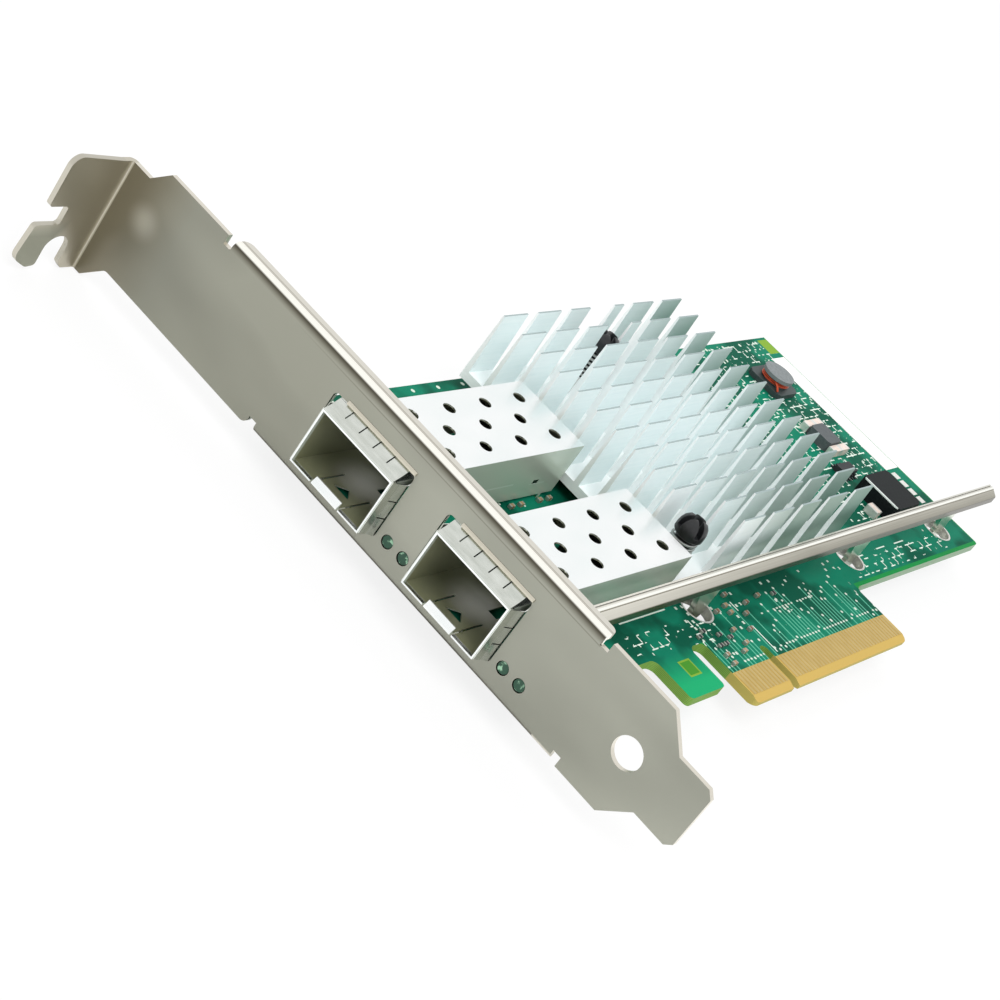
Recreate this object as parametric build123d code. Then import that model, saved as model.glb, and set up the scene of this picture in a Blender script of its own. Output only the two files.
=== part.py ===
from build123d import *
import os

os.makedirs("parts", exist_ok=True)

# Frame: X runs along the card away from the slot bracket, Y from the edge contacts to the
# card's top edge, Z out of the component side. The origin lies on the bracket's front face,
# level with the bottom of the edge contacts and with the component side of the board.

# Board
BOARD_THICK = 1.57
BOARD_START = 2.4
BOARD_END = 152.3
BOARD_TOP = 68.8
BOARD_LOW = 12.0
CORNER_R = 0.8
INNER_R = 1.4

# Edge connector
KEY_START = 59.6
KEY_WIDTH = 1.9
KEY_DEPTH = 8.2
FIRST_LENGTH = 11.65
SECOND_LENGTH = 38.65
BEVEL_LENGTH = 1.3
BEVEL_DEPTH = 0.45
CONTACT_PITCH = 1.0
CONTACT_WIDTH = 0.72
CONTACT_TOP = 5.6
CONTACT_THICK = 0.05

# Hold-down hook of the board beside the edge connector
HOOK_WIDTH = 9.85
HOOK_GAP = 4.15
HOOK_DROP = 7.8

# Slot bracket, folded from one sheet
SHEET = 0.86
BRACKET_LENGTH = 120.02
BRACKET_WIDTH = 18.42
BRACKET_BELOW = 2.35
TONGUE_DROP = 14.3
TONGUE_WIDTH = 10.19
TONGUE_INSET = 4.03
TONGUE_LENGTH = 6.4
TIP_CHAMFER = 1.0
SHOULDER = 4.1
BEND_R = 0.2
TAB_REACH = 11.43
TAB_WIDTH = 19.05
TAB_SHIFT = 3.56
TAB_EAR = 2.3
TAB_FLARE = 0.7
TAB_HOOK = 1.35
TAB_ROUND = 1.2
SCREW_SLOT = 4.42
SCREW_FROM_FACE = 5.85
SCREW_DEPTH = 5.8
RIM_DEPTH = 3.0
RIM_START = 9.0
RIM_END = 84.2
LOW_RIM_DEPTH = 2.0
LOW_RIM_START = 5.2
LOW_RIM_END = 66.5
RELIEF = 1.5
RELIEF_WIDTH = 1.4
RIM_ROUND = 1.2
NECK_ROUND = 1.2
PANEL_HOLE_R = 2.35
PANEL_HOLE_Y = -2.5

# Module cages
PORT_Y = 27.55
PORT_PITCH = 23.3
CAGE_WIDTH = 14.2
CAGE_TOP = 9.85
CAGE_BOTTOM = 0.7
CAGE_FRONT = -2.4
CAGE_BACK = 45.2
CAGE_WALL = 0.25
FLOOR_END = 32.0
VENT_R = 1.05
VENT_PITCH = 8.93
VENT_ROW = 3.95
VENT_FIRST = 9.6
LATCH_WIDTH = 5.2
LATCH_LENGTH = 7.4
LATCH_SLIT = 0.3
LATCH_LIP = 0.85
CATCH_START = 3.6
CATCH_LENGTH = 2.1
CATCH_WIDTH = 3.2
WINDOW_START = 10.8
WINDOW_LENGTH = 6.0
WINDOW_WIDTH = 1.7
PIN_WIDTH = 0.8
PIN_TAIL = 0.7
PIN_GAP = 0.12
PINS_PER_WALL = 4

# Spring collars round the cage mouths
COLLAR_THICK = 0.15
COLLAR_LENGTH = 0.8
COLLAR_SETBACK = 0.1
FINGER_RISE = 1.6
SIDE_RISE = 0.9
FINGER_LENGTH = 5.7
FINGER_ROOT = 1.1
FINGER_GAP = 0.2
TOP_FINGERS = 5
SIDE_FINGERS = 3
CUTOUT_GAP = 0.15
CUTOUT_R = 0.8
BEAD_RISE = 0.3
BEAD_HEIGHT = 0.55
BEAD_LENGTH = 14.0
BEAD_SHIFT = 1.25

# Host connectors in the cages
CONNECTOR_WIDTH = 12.4
CONNECTOR_HEIGHT = 6.2
CONNECTOR_LENGTH = 9.8
CONNECTOR_SLOT_WIDTH = 10.8
CONNECTOR_SLOT_HEIGHT = 1.3
CONNECTOR_SLOT_DEPTH = 5.6
CONNECTOR_SLOT_Z = 3.1

# Link lights
LIGHT_R = 1.0
LIGHT_Z = 1.77
LIGHT_FIRST = 10.3
LIGHT_PITCH = 3.15
LIGHT_BODY_DEPTH = 4.2
LIGHT_BODY_HEIGHT = 3.3
LIGHT_BODY_SIDE = 1.3
LIGHT_GAP = 0.3
LENS_GAP = 0.12
LENS_INSET = 0.15

# Controller, pad and heatsink
CHIP_X = 63.05
CHIP_Y = 43.9
CHIP_SIZE = 25.0
CHIP_HEIGHT = 2.0
PAD_SIZE = 23.0
PAD_THICK = 0.15
SINK_START = 46.8
SINK_LOW = 20.4
SINK_BASE = 1.5
SINK_TOP = 14.47
FIN_ROWS = 12
FIN_PITCH = 4.19
FIN_ROOT = 1.05
FIN_TIP = 0.3
FIN_COLUMNS = 6
FIN_WIDTH = 6.6
FIN_CUT = 2.92

# Push pins
PUSH_DX = 12.25
PUSH_DY = 19.1
PUSH_R = 1.5
PUSH_HOLE_R = 1.65
PUSH_HEAD_R = 2.45
PUSH_HEAD_HEIGHT = 3.3
PUSH_TIP_R = 2.0
PUSH_TIP_LENGTH = 2.2
PUSH_SPLIT = 0.7
SPRING_HEIGHT = 5.2
SPRING_OUTER_R = 2.25
SPRING_WIRE = 0.45
POCKET_SIDE = 3.75
POCKET_LONG = 5.4

# Stiffener bar
BAR_SHEET = 0.8
BAR_LOW = 15.65
BAR_WIDTH = 2.35
BAR_TOP = 8.9
BAR_SKIRT = 1.3
BAR_END = 155.0
BAR_FLAT = 0.85
BAR_SLOPE = 1.0
GROOVE_EDGE = 0.3
GROOVE_WIDTH = 0.22
GROOVE_DEPTH = 0.15
LEG_FIRST = 54.0
LEG_SECOND = 106.85
LEG_THIRD = 143.4
LEG_TIP_WIDTH = 4.4
LEG_ROOT_WIDTH = 11.0
LEG_TIP = 0.7
LEG_HOLE_R = 2.75

# Power parts and small parts
CHOKE_X = 137.8
CHOKE_Y = 57.2
CHOKE_BASE = 8.0
CHOKE_BASE_HEIGHT = 1.0
CHOKE_CORE_R = 3.1
CHOKE_HEIGHT = 2.9
CHOKE_FLANGE = 0.7
CHOKE_WIRE = 0.6
BLOCK_X = 134.05
BLOCK_Y = 26.1
BLOCK_LENGTH = 9.7
BLOCK_WIDTH = 8.8
BLOCK_HEIGHT = 3.3
INDUCTOR_X = 134.6
INDUCTOR_Y = 42.2
INDUCTOR_SIZE = 4.9
INDUCTOR_HEIGHT = 2.0
CLOCK_X = 131.6
CLOCK_Y = 34.4
CLOCK_LENGTH = 5.0
CLOCK_WIDTH = 2.4
CLOCK_HEIGHT = 1.3
BULK_LENGTH = 2.9
BULK_WIDTH = 1.5
BULK_HEIGHT = 1.5
LARGE_LENGTH = 2.0
LARGE_WIDTH = 2.4
SMALL_LENGTH = 1.05
SMALL_WIDTH = 0.6
HEADER_X = 148.3
HEADER_Y = 27.6
HEADER_PITCH = 2.13
HEADER_PAD = 1.65
LABEL_START = 146.9
LABEL_EDGE = 0.4
LABEL_LOW = 32.5
LABEL_LENGTH = 30.6
LABEL_THICK = 0.1


def block(x0, x1, y0, y1, z0, z1):
    """A box between two corners."""
    centre = ((x0 + x1) / 2, (y0 + y1) / 2, (z0 + z1) / 2)
    return Pos(*centre) * Box(x1 - x0, y1 - y0, z1 - z0)


def upright(x, y, radius, z0, z1):
    """A round bar or cutter that stands along Z."""
    return Pos(x, y, (z0 + z1) / 2) * Cylinder(radius, z1 - z0)


def run_along_x(points, x0, x1):
    """A solid with the outline points in Y and Z, run along X."""
    face = make_face(Polyline(*points, close=True))
    return Pos(x0, 0, 0) * extrude(Plane.YZ * face, x1 - x0)


def save(shape, node):
    export_step(shape, f"parts/{node}.step")


# Places that several pieces share
BRACKET_TOP = BRACKET_LENGTH - TONGUE_DROP
BRACKET_LOW_Z = -BRACKET_BELOW
BRACKET_HIGH_Z = BRACKET_WIDTH - BRACKET_BELOW
TONGUE_LOW_Z = BRACKET_LOW_Z + TONGUE_INSET
PANEL_HOLE_Z = TONGUE_LOW_Z + TONGUE_WIDTH / 2
TAB_LOW_Z = BRACKET_LOW_Z - TAB_SHIFT
TAB_HIGH_Z = TAB_LOW_Z + TAB_WIDTH
FIRST_START = KEY_START - FIRST_LENGTH
SECOND_START = KEY_START + KEY_WIDTH
SECOND_END = SECOND_START + SECOND_LENGTH
HOOK_END = FIRST_START - HOOK_GAP
HOOK_START = HOOK_END - HOOK_WIDTH
PORTS = [PORT_Y + PORT_PITCH, PORT_Y]
SINK_LENGTH = FIN_COLUMNS * FIN_WIDTH + (FIN_COLUMNS - 1) * FIN_CUT
SINK_HEIGHT = (FIN_ROWS - 1) * FIN_PITCH + FIN_ROOT
SINK_FOOT = CHIP_HEIGHT + PAD_THICK
SINK_DECK = SINK_FOOT + SINK_BASE
PUSH_PLACES = [(CHIP_X - PUSH_DX, CHIP_Y - PUSH_DY), (CHIP_X + PUSH_DX, CHIP_Y + PUSH_DY)]
BAR_FAR = BAR_LOW + BAR_WIDTH
LEG_Y = BAR_FAR - BAR_SHEET / 2
LEG_PLACES = [LEG_FIRST, LEG_SECOND, LEG_THIRD]


def cage_pin_xs():
    """Places of the tails along a cage wall."""
    first = BOARD_START + PIN_WIDTH * 4
    last = CAGE_BACK - PIN_WIDTH * 4
    return [first + (last - first) * k / (PINS_PER_WALL - 1) for k in range(PINS_PER_WALL)]


def cage_pin_ys(port):
    """Middles of the two side walls of a cage."""
    half = (CAGE_WIDTH - CAGE_WALL) / 2
    return [port - half, port + half]


def make_board():
    outline = [
        (BOARD_START, BOARD_LOW), (HOOK_START, BOARD_LOW), (HOOK_START, BOARD_LOW - HOOK_DROP),
        (HOOK_END, BOARD_LOW - HOOK_DROP), (HOOK_END, BOARD_LOW), (FIRST_START, BOARD_LOW),
        (FIRST_START, 0), (SECOND_END, 0), (SECOND_END, BOARD_LOW),
        (BOARD_END, BOARD_LOW), (BOARD_END, BOARD_TOP), (BOARD_START, BOARD_TOP),
    ]
    face = make_face(Polyline(*outline, close=True))
    inner = [(HOOK_START, BOARD_LOW), (HOOK_END, BOARD_LOW), (FIRST_START, BOARD_LOW),
             (SECOND_END, BOARD_LOW)]
    outer = [(HOOK_START, BOARD_LOW - HOOK_DROP), (HOOK_END, BOARD_LOW - HOOK_DROP),
             (FIRST_START, 0), (SECOND_END, 0), (BOARD_END, BOARD_LOW)]
    face = fillet(corners_near(face, inner), INNER_R)
    face = fillet(corners_near(face, outer), CORNER_R)
    board = extrude(face, -BOARD_THICK)
    notch = Pos((KEY_START + SECOND_START) / 2, 0, -BOARD_THICK / 2)
    board -= notch * block(-KEY_WIDTH / 2, KEY_WIDTH / 2, -1, KEY_DEPTH - KEY_WIDTH / 2,
                           -BOARD_THICK, BOARD_THICK)
    board -= upright((KEY_START + SECOND_START) / 2, KEY_DEPTH - KEY_WIDTH / 2, KEY_WIDTH / 2,
                     -2 * BOARD_THICK, BOARD_THICK)
    bevel = run_along_x([(0, 0), (BEVEL_LENGTH, 0), (0, -BEVEL_DEPTH)], FIRST_START - 1, SECOND_END + 1)
    lower = mirror(bevel, Plane.XY.offset(-BOARD_THICK / 2))
    board -= bevel + lower
    for x in LEG_PLACES:
        board -= upright(x, LEG_Y, LEG_HOLE_R, -2 * BOARD_THICK, BOARD_THICK)
    for x, y in PUSH_PLACES:
        board -= upright(x, y, PUSH_HOLE_R, -2 * BOARD_THICK, BOARD_THICK)
    long = PIN_WIDTH / 2 + PIN_GAP
    wide = CAGE_WALL / 2 + PIN_GAP
    for port in PORTS:
        for x in cage_pin_xs():
            for y in cage_pin_ys(port):
                board -= block(x - long, x + long, y - wide, y + wide, -2 * BOARD_THICK, BOARD_THICK)
    return board


def corners_near(face, places):
    """The corner points of a flat outline that lie at the given places."""
    found = []
    for vertex in face.vertices():
        if any(abs(vertex.X - x) + abs(vertex.Y - y) < 0.01 for x, y in places):
            found.append(vertex)
    return found


def contact_xs():
    """Middles of the edge contacts on both sides of the key."""
    first = int(FIRST_LENGTH / CONTACT_PITCH)
    second = int(SECOND_LENGTH / CONTACT_PITCH)
    start = FIRST_START + (FIRST_LENGTH - (first - 1) * CONTACT_PITCH) / 2
    after = SECOND_START + (SECOND_LENGTH - (second - 1) * CONTACT_PITCH) / 2
    return [start + k * CONTACT_PITCH for k in range(first)] + [
        after + k * CONTACT_PITCH for k in range(second)]


def make_contacts():
    """Gold contacts of the component side, from the bevel up."""
    one = block(-CONTACT_WIDTH / 2, CONTACT_WIDTH / 2, BEVEL_LENGTH, CONTACT_TOP, 0, CONTACT_THICK)
    return Compound(children=[Pos(x, 0, 0) * one for x in contact_xs()])


def face_outline():
    """Outline of the bracket's face in Y and Z, from the tab's low corner round."""
    tip = -TONGUE_DROP
    high = TONGUE_LOW_Z + TONGUE_WIDTH
    root = tip + TONGUE_LENGTH
    ear = BRACKET_TOP - TAB_EAR
    step = BRACKET_HIGH_Z - TAB_HIGH_Z
    lean = BRACKET_TOP - TAB_EAR * 2
    return [
        (BRACKET_TOP, TAB_LOW_Z), (ear, TAB_LOW_Z), (ear - TAB_SHIFT, BRACKET_LOW_Z),
        (root + TONGUE_INSET, BRACKET_LOW_Z), (root, TONGUE_LOW_Z),
        (tip + TIP_CHAMFER, TONGUE_LOW_Z), (tip, TONGUE_LOW_Z + TIP_CHAMFER),
        (tip, high - TIP_CHAMFER), (tip + TIP_CHAMFER, high), (root, high),
        (root + SHOULDER, BRACKET_HIGH_Z), (lean - step, BRACKET_HIGH_Z), (lean, TAB_HIGH_Z),
        (BRACKET_TOP, TAB_HIGH_Z),
    ]


def make_tab():
    """The bracket's top tab with its screw slot and edge notch, before the bend."""
    slot_r = SCREW_SLOT / 2
    outer = -TAB_REACH
    slot_z = TAB_LOW_Z + SCREW_DEPTH - slot_r
    low = TAB_LOW_Z
    left = -SCREW_FROM_FACE - slot_r
    right = -SCREW_FROM_FACE + slot_r
    notch_low = low + 7.85
    notch_high = low + 11.1
    hook = (outer - TAB_HOOK, low + 2.0)
    flare = (outer, TAB_HIGH_Z + TAB_FLARE)
    depth = left + 0.5
    start = Polyline(
        (left, slot_z), (left, low + 0.7), (left - 1.7, low + 0.4), hook, (outer - 0.6, notch_low),
        (depth, notch_low), (depth, notch_high), (outer, notch_high), flare,
        (-2 * SHEET, TAB_HIGH_Z), (SHEET, TAB_HIGH_Z), (SHEET, low), (right + 1.0, low),
        (right, low + 0.9), (right, slot_z),
    )
    arc = ThreePointArc((right, slot_z), (-SCREW_FROM_FACE, slot_z + slot_r), (left, slot_z))
    face = make_face(start + arc)
    face = fillet(corners_near(face, [flare, hook]), 1.5 * TAB_ROUND)
    face = fillet(corners_near(face, [(left - 1.7, low + 0.4)]), TAB_ROUND)
    small = [(outer - 0.6, notch_low), (depth, notch_low), (depth, notch_high), (outer, notch_high),
             (left, low + 0.7), (right, low + 0.9)]
    face = fillet(corners_near(face, small), TAB_ROUND / 2)
    plane = Plane(origin=(0, BRACKET_TOP, 0), x_dir=(1, 0, 0), z_dir=(0, -1, 0))
    return extrude(plane * face, SHEET)


def edges_at(solid, axis, **where):
    """Edges along an axis whose middles have the stated coordinates."""
    found = []
    for edge in solid.edges().filter_by(axis):
        middle = edge.center()
        if all(abs(getattr(middle, key) - value) < 0.01 for key, value in where.items()):
            found.append(edge)
    return found


def make_bracket():
    face = make_face(Polyline(*face_outline(), close=True))
    bracket = extrude(Plane.YZ * face, SHEET) + make_tab()
    low_rim = (LOW_RIM_START + LOW_RIM_END) / 2
    rim = (RIM_START + RIM_END) / 2
    for start, end in ((RIM_START - RELIEF_WIDTH, RIM_START), (RIM_END, RIM_END + RELIEF_WIDTH)):
        bracket -= block(-1, SHEET + 1, start, end, BRACKET_HIGH_Z - RELIEF, BRACKET_HIGH_Z + 1)
    for start, end in ((LOW_RIM_START - RELIEF_WIDTH, LOW_RIM_START),
                       (LOW_RIM_END, LOW_RIM_END + RELIEF_WIDTH)):
        bracket -= block(-1, SHEET + 1, start, end, BRACKET_LOW_Z - 1, BRACKET_LOW_Z + RELIEF)
    bracket += block(0, RIM_DEPTH, RIM_START, RIM_END, BRACKET_HIGH_Z - SHEET, BRACKET_HIGH_Z)
    bracket += block(0, LOW_RIM_DEPTH, LOW_RIM_START, LOW_RIM_END, BRACKET_LOW_Z, BRACKET_LOW_Z + SHEET)
    outside = edges_at(bracket, Axis.Z, X=SHEET, Y=BRACKET_TOP)
    outside += edges_at(bracket, Axis.Y, X=0, Y=rim, Z=BRACKET_HIGH_Z)
    outside += edges_at(bracket, Axis.Y, X=0, Y=low_rim, Z=BRACKET_LOW_Z)
    bracket = fillet(outside, BEND_R + SHEET)
    inside = edges_at(bracket, Axis.Z, X=0, Y=BRACKET_TOP - SHEET)
    inside += edges_at(bracket, Axis.Y, X=SHEET, Z=BRACKET_HIGH_Z - SHEET)
    bracket = fillet(inside, BEND_R)
    neck = edges_at(bracket, Axis.X, Y=LOW_RIM_END + RELIEF_WIDTH, Z=BRACKET_LOW_Z)
    neck += edges_at(bracket, Axis.X, Y=BRACKET_TOP - TAB_EAR - TAB_SHIFT, Z=BRACKET_LOW_Z)
    bracket = fillet(neck, NECK_ROUND)
    corners = edges_at(bracket, Axis.Z, X=RIM_DEPTH) + edges_at(bracket, Axis.Z, X=LOW_RIM_DEPTH)
    bracket = fillet(corners, RIM_ROUND)
    for port in PORTS:
        bracket = bracket + port_bead(port) - port_cutter(port)
        for y in light_ys(port):
            bracket -= Pos(SHEET / 2, y, LIGHT_Z) * Rot(0, 90, 0) * Cylinder(LIGHT_R, 2 * SHEET)
    hole = Pos(SHEET / 2, PANEL_HOLE_Y, PANEL_HOLE_Z) * Rot(0, 90, 0) * Cylinder(PANEL_HOLE_R, 2 * SHEET)
    return bracket - hole


def cutout_sides(port):
    """Low and high Y and Z of the bracket's opening round one cage mouth."""
    reach = COLLAR_THICK + CUTOUT_GAP
    half = CAGE_WIDTH / 2 + SIDE_RISE + reach
    return port - half, port + half, CAGE_BOTTOM - CUTOUT_GAP, CAGE_TOP + FINGER_RISE + reach


def port_cutter(port):
    """The tool for the opening round one cage mouth."""
    y0, y1, z0, z1 = cutout_sides(port)
    middle = Plane(origin=(0, (y0 + y1) / 2, (z0 + z1) / 2), x_dir=(0, 1, 0), z_dir=(1, 0, 0))
    return extrude(middle.offset(-1) * RectangleRounded(y1 - y0, z1 - z0, CUTOUT_R), SHEET + 2)


def port_bead(port):
    """The ridge pressed out of the sheet along the top of one port opening."""
    foot = cutout_sides(port)[3]
    points = [(SHEET / 2, foot), (-BEAD_RISE, foot), (-BEAD_RISE, foot + BEAD_HEIGHT / 2),
              (0, foot + BEAD_HEIGHT), (SHEET / 2, foot + BEAD_HEIGHT)]
    face = make_face(Polyline(*points, close=True))
    start = port - BEAD_SHIFT - BEAD_LENGTH / 2
    plane = Plane(origin=(0, start, 0), x_dir=(1, 0, 0), z_dir=(0, -1, 0))
    return extrude(plane * face, -BEAD_LENGTH)


def light_ys(port):
    """The two link lights beside one port."""
    return [port - LIGHT_FIRST, port - LIGHT_FIRST - LIGHT_PITCH]


def make_cage(port):
    """A thin folded box, open at the front and under the host connector."""
    half = CAGE_WIDTH / 2
    cage = block(CAGE_FRONT, CAGE_BACK, port - half, port + half, CAGE_BOTTOM, CAGE_TOP)
    cage -= block(CAGE_FRONT - 1, CAGE_BACK - CAGE_WALL, port - half + CAGE_WALL, port + half - CAGE_WALL,
                  CAGE_BOTTOM + CAGE_WALL, CAGE_TOP - CAGE_WALL)
    cage -= block(FLOOR_END, CAGE_BACK - CAGE_WALL, port - half + CAGE_WALL, port + half - CAGE_WALL,
                  CAGE_BOTTOM - 1, CAGE_BOTTOM + 2 * CAGE_WALL)
    for row in (-1, 0, 1):
        for k in range(4):
            x = VENT_FIRST + (k + abs(row) / 2) * VENT_PITCH
            if x + VENT_R < CAGE_BACK - CAGE_WALL:
                cage -= upright(x, port + row * VENT_ROW, VENT_R, CAGE_TOP - 1, CAGE_TOP + 1)
    cage -= latch_slits(port)
    cage += latch_lip(port)
    for x in cage_pin_xs():
        for y in cage_pin_ys(port):
            cage += block(x - PIN_WIDTH / 2, x + PIN_WIDTH / 2, y - CAGE_WALL / 2, y + CAGE_WALL / 2,
                          -BOARD_THICK - PIN_TAIL, CAGE_BOTTOM + CAGE_WALL)
    return cage


def latch_slits(port):
    """Slits that free the latch tongue in the cage floor, its catch hole and a window behind it."""
    low, high = CAGE_BOTTOM - 1, CAGE_BOTTOM + 2 * CAGE_WALL
    start = CAGE_FRONT + WINDOW_START
    middle = port - WINDOW_WIDTH
    cutter = block(start, start + WINDOW_LENGTH, middle - WINDOW_WIDTH / 2, middle + WINDOW_WIDTH / 2, low, high)
    for side in (-1, 1):
        y = port + side * (LATCH_WIDTH + LATCH_SLIT) / 2
        cutter += block(CAGE_FRONT - 1, CAGE_FRONT + LATCH_LENGTH, y - LATCH_SLIT / 2, y + LATCH_SLIT / 2, low, high)
    base = CAGE_FRONT + CATCH_START
    catch = [(base, port - CATCH_WIDTH / 2), (base, port + CATCH_WIDTH / 2), (base + CATCH_LENGTH, port)]
    hole = extrude(Pos(0, 0, low) * make_face(Polyline(*catch, close=True)), high - low)
    return cutter + hole


def latch_lip(port):
    """The tongue's front lip, a steep flap that a module rides over."""
    half = LATCH_WIDTH / 2
    top = CAGE_BOTTOM + CAGE_WALL
    lean = LATCH_LIP * 0.65
    points = [(CAGE_FRONT, CAGE_BOTTOM), (CAGE_FRONT, top), (CAGE_FRONT + lean, top + LATCH_LIP),
              (CAGE_FRONT + lean + CAGE_WALL, top + LATCH_LIP), (CAGE_FRONT + 2 * CAGE_WALL, CAGE_BOTTOM)]
    face = make_face(Polyline(*points, close=True))
    plane = Plane(origin=(0, port - half, 0), x_dir=(1, 0, 0), z_dir=(0, -1, 0))
    return extrude(plane * face, -LATCH_WIDTH)


def collar_side(rise, width, fingers):
    """One side of the collar on the plane z = 0: a sheet bowed along X and slit into fingers."""
    bow = [(0, 0), (0.2, 0.38), (0.42, 1.0), (0.62, 0.78), (1.0, 0.04)]
    low = [(x * FINGER_LENGTH, z * rise) for x, z in bow]
    high = [(x, z + COLLAR_THICK) for x, z in reversed(low)]
    face = make_face(Polyline(*low, *high, close=True))
    plane = Plane(origin=(0, width / 2, 0), x_dir=(1, 0, 0), z_dir=(0, -1, 0))
    sheet = extrude(plane * face, width)
    for k in range(1, fingers):
        y = (k / fingers - 0.5) * width
        sheet -= block(FINGER_ROOT, FINGER_LENGTH + 1, y - FINGER_GAP / 2, y + FINGER_GAP / 2, -1, rise + 1)
    return sheet


def make_collar(port):
    """The band round a cage mouth with fingers on its top and both sides."""
    half = CAGE_WIDTH / 2
    front = CAGE_FRONT + COLLAR_SETBACK
    back = front + COLLAR_LENGTH
    low = CAGE_BOTTOM + CUTOUT_GAP
    collar = block(front, back, port - half - COLLAR_THICK, port + half + COLLAR_THICK,
                   low, CAGE_TOP + COLLAR_THICK)
    collar -= block(front - 1, back + 1, port - half, port + half, low - 1, CAGE_TOP)
    collar += Pos(front, port, CAGE_TOP) * collar_side(FINGER_RISE, CAGE_WIDTH, TOP_FINGERS)
    side = collar_side(SIDE_RISE, CAGE_TOP - low, SIDE_FINGERS)
    middle = (CAGE_TOP + low) / 2
    collar += Pos(front, port - half, middle) * Rot(90, 0, 0) * side
    collar += Pos(front, port + half, middle) * Rot(-90, 0, 0) * side
    return collar


def make_connector(port):
    """The plastic host connector that a module plugs into."""
    back = CAGE_BACK - CAGE_WALL - 0.3
    front = back - CONNECTOR_LENGTH
    half = CONNECTOR_WIDTH / 2
    body = block(front, back, port - half, port + half, 0, CONNECTOR_HEIGHT)
    slot = CONNECTOR_SLOT_WIDTH / 2
    body -= block(front - 1, front + CONNECTOR_SLOT_DEPTH, port - slot, port + slot,
                  CONNECTOR_SLOT_Z, CONNECTOR_SLOT_Z + CONNECTOR_SLOT_HEIGHT)
    body -= block(front - 1, front + 2.0, port - half - 1, port + half + 1,
                  CONNECTOR_HEIGHT - 1.2, CONNECTOR_HEIGHT + 1)
    return body


def make_light_body(port):
    """The holder of two link lights, which stands at the board's edge."""
    first, second = light_ys(port)
    front = SHEET + LIGHT_GAP
    return block(front, front + LIGHT_BODY_DEPTH, second - LIGHT_BODY_SIDE, first + LIGHT_BODY_SIDE,
                 0, LIGHT_BODY_HEIGHT)


def make_lenses():
    """Clear lenses that look out through the bracket's small holes."""
    back = SHEET + LIGHT_GAP
    lens = Rot(0, 90, 0) * Cylinder(LIGHT_R - LENS_GAP, back - LENS_INSET)
    middle = (back + LENS_INSET) / 2
    return Compound(children=[Pos(middle, y, LIGHT_Z) * lens for port in PORTS for y in light_ys(port)])


def make_heatsink():
    """An extruded comb of tapered fins, cross cut into plates."""
    comb = block(SINK_START, SINK_START + SINK_LENGTH, SINK_LOW, SINK_LOW + SINK_HEIGHT,
                 SINK_FOOT, SINK_DECK)
    for row in range(FIN_ROWS):
        y = SINK_LOW + FIN_ROOT / 2 + row * FIN_PITCH
        section = [(y - FIN_ROOT / 2, SINK_DECK), (y + FIN_ROOT / 2, SINK_DECK),
                   (y + FIN_TIP / 2, SINK_TOP), (y - FIN_TIP / 2, SINK_TOP)]
        for column in range(FIN_COLUMNS):
            x = SINK_START + column * (FIN_WIDTH + FIN_CUT)
            for x0, x1 in fin_spans(x, x + FIN_WIDTH, y):
                comb += run_along_x(section, x0, x1)
    for x, y in PUSH_PLACES:
        comb -= upright(x, y, PUSH_HOLE_R, SINK_FOOT - 1, SINK_DECK + 1)
    return comb


def fin_spans(x0, x1, y):
    """What is left of one fin plate beside the pockets that are milled for the push pins."""
    spans = [(x0, x1)]
    for px, py in PUSH_PLACES:
        side = -1 if py < CHIP_Y else 1
        low, high = sorted((py - side * POCKET_SIDE, py + side * POCKET_LONG))
        if low < y < high:
            kept = []
            for a, b in spans:
                kept.append((a, min(b, px - POCKET_SIDE)))
                kept.append((max(a, px + POCKET_SIDE), b))
            spans = [(a, b) for a, b in kept if b - a > FIN_ROOT]
    return spans


def make_push_pin(x, y):
    """A split plastic pin with a mushroom head and a barbed tip under the board."""
    seat = SINK_DECK + SPRING_HEIGHT
    radius = PUSH_HEAD_R
    tip = -BOARD_THICK
    half = [
        (0, seat + PUSH_HEAD_HEIGHT), (radius * 0.6, seat + PUSH_HEAD_HEIGHT),
        (radius, seat + PUSH_HEAD_HEIGHT * 0.6), (radius, seat), (PUSH_R, seat),
        (PUSH_R, tip), (PUSH_TIP_R, tip), (PUSH_R * 0.45, tip - PUSH_TIP_LENGTH), (0, tip - PUSH_TIP_LENGTH),
    ]
    face = make_face(Polyline(*half, close=True))
    pin = revolve(Plane.XZ * face, Axis.Z)
    cut = PUSH_SPLIT / 2
    pin -= block(-cut, cut, -4, 4, seat + PUSH_HEAD_HEIGHT * 0.45, seat + PUSH_HEAD_HEIGHT + 1)
    pin -= block(-4, 4, -cut, cut, seat + PUSH_HEAD_HEIGHT * 0.45, seat + PUSH_HEAD_HEIGHT + 1)
    pin -= block(-cut, cut, -4, 4, tip - PUSH_TIP_LENGTH - 1, -BOARD_THICK / 2)
    return Pos(x, y, 0) * pin


def make_spring(x, y):
    """The space of the coil spring between heatsink and pin head, as a tube with flats."""
    outer = RegularPolygon(SPRING_OUTER_R, 16)
    inner = RegularPolygon(SPRING_OUTER_R - SPRING_WIRE, 16)
    return Pos(x, y, SINK_DECK) * extrude(outer - inner, SPRING_HEIGHT)


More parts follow.
